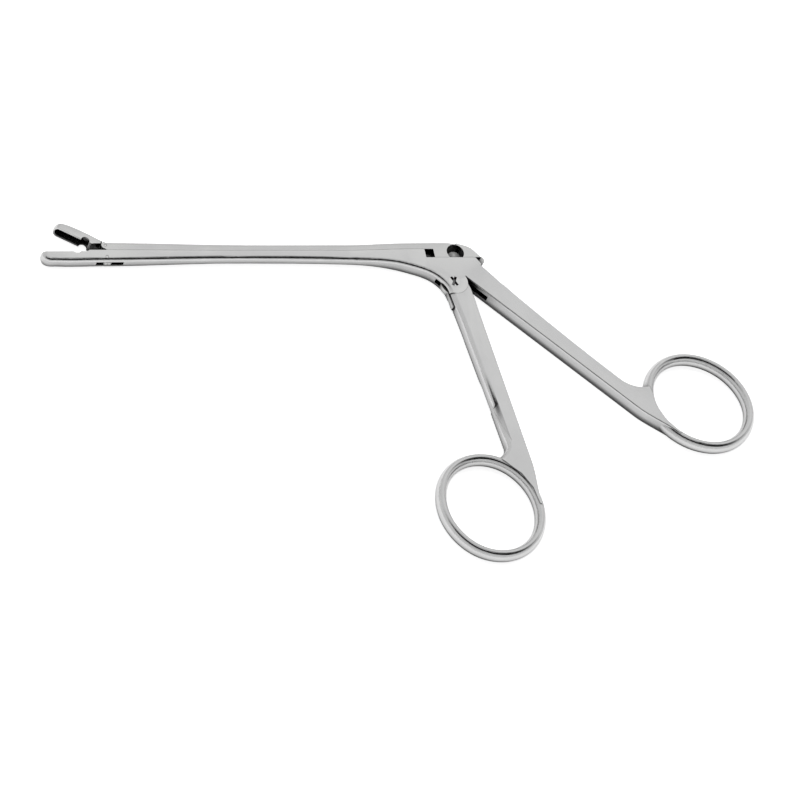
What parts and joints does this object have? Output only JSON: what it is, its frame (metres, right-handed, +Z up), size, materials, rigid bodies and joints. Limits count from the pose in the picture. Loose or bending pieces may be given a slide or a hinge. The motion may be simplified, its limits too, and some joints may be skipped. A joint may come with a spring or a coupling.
{
  "type": "nasal forceps",
  "caption": "Nasal forceps with a sliding upper shaft, hinged cup jaw and two ring handles; squeezing the handles closes the jaws.",
  "frame": {"origin": "on the surface the instrument lies on, under the pivot of the two handles", "axes": "+Z up from that surface along the handles' pivot, +X from the jaws towards the handles along the shafts, +Y towards the sliding shaft"},
  "size_m": [0.1845, 0.1008, 0.0043],
  "materials": {
    "satin_steel": "satin",
    "pin_steel": "satin"
  },
  "bodies": {
    "frame": {"lower_shaft": "satin_steel", "handle_pivot_screw": "pin_steel", "jaw_pivot_pin": "pin_steel", "guide_studs": "pin_steel"},
    "finger_lever": {"finger_handle": "satin_steel"},
    "slider": {"upper_shaft": "satin_steel", "jaw_link_pin": "pin_steel"},
    "jaw": {"upper_jaw": "satin_steel"}
  },
  "joints": [
    {"name": "handle_hinge", "type": "hinge", "parent": "frame", "child": "finger_lever", "pos_m": [0, 0, 0.00215], "axis": [0, 0, 1], "range_deg": [0, 13.56]},
    {"name": "shaft_slide", "type": "slide", "parent": "frame", "child": "slider", "axis": [-1, 0, 0], "range_m": [0, 0.002]},
    {"name": "jaw_hinge", "type": "hinge", "parent": "frame", "child": "jaw", "pos_m": [-0.09205, 0.008, 0.00215], "axis": [0, 0, 1], "range_deg": [0, 31]}
  ],
  "couplings": [
    {"joint": "shaft_slide", "follows": "handle_hinge", "m_per_rad": 0.0084676},
    {"joint": "jaw_hinge", "follows": "handle_hinge", "ratio": 2.2868}
  ]
}
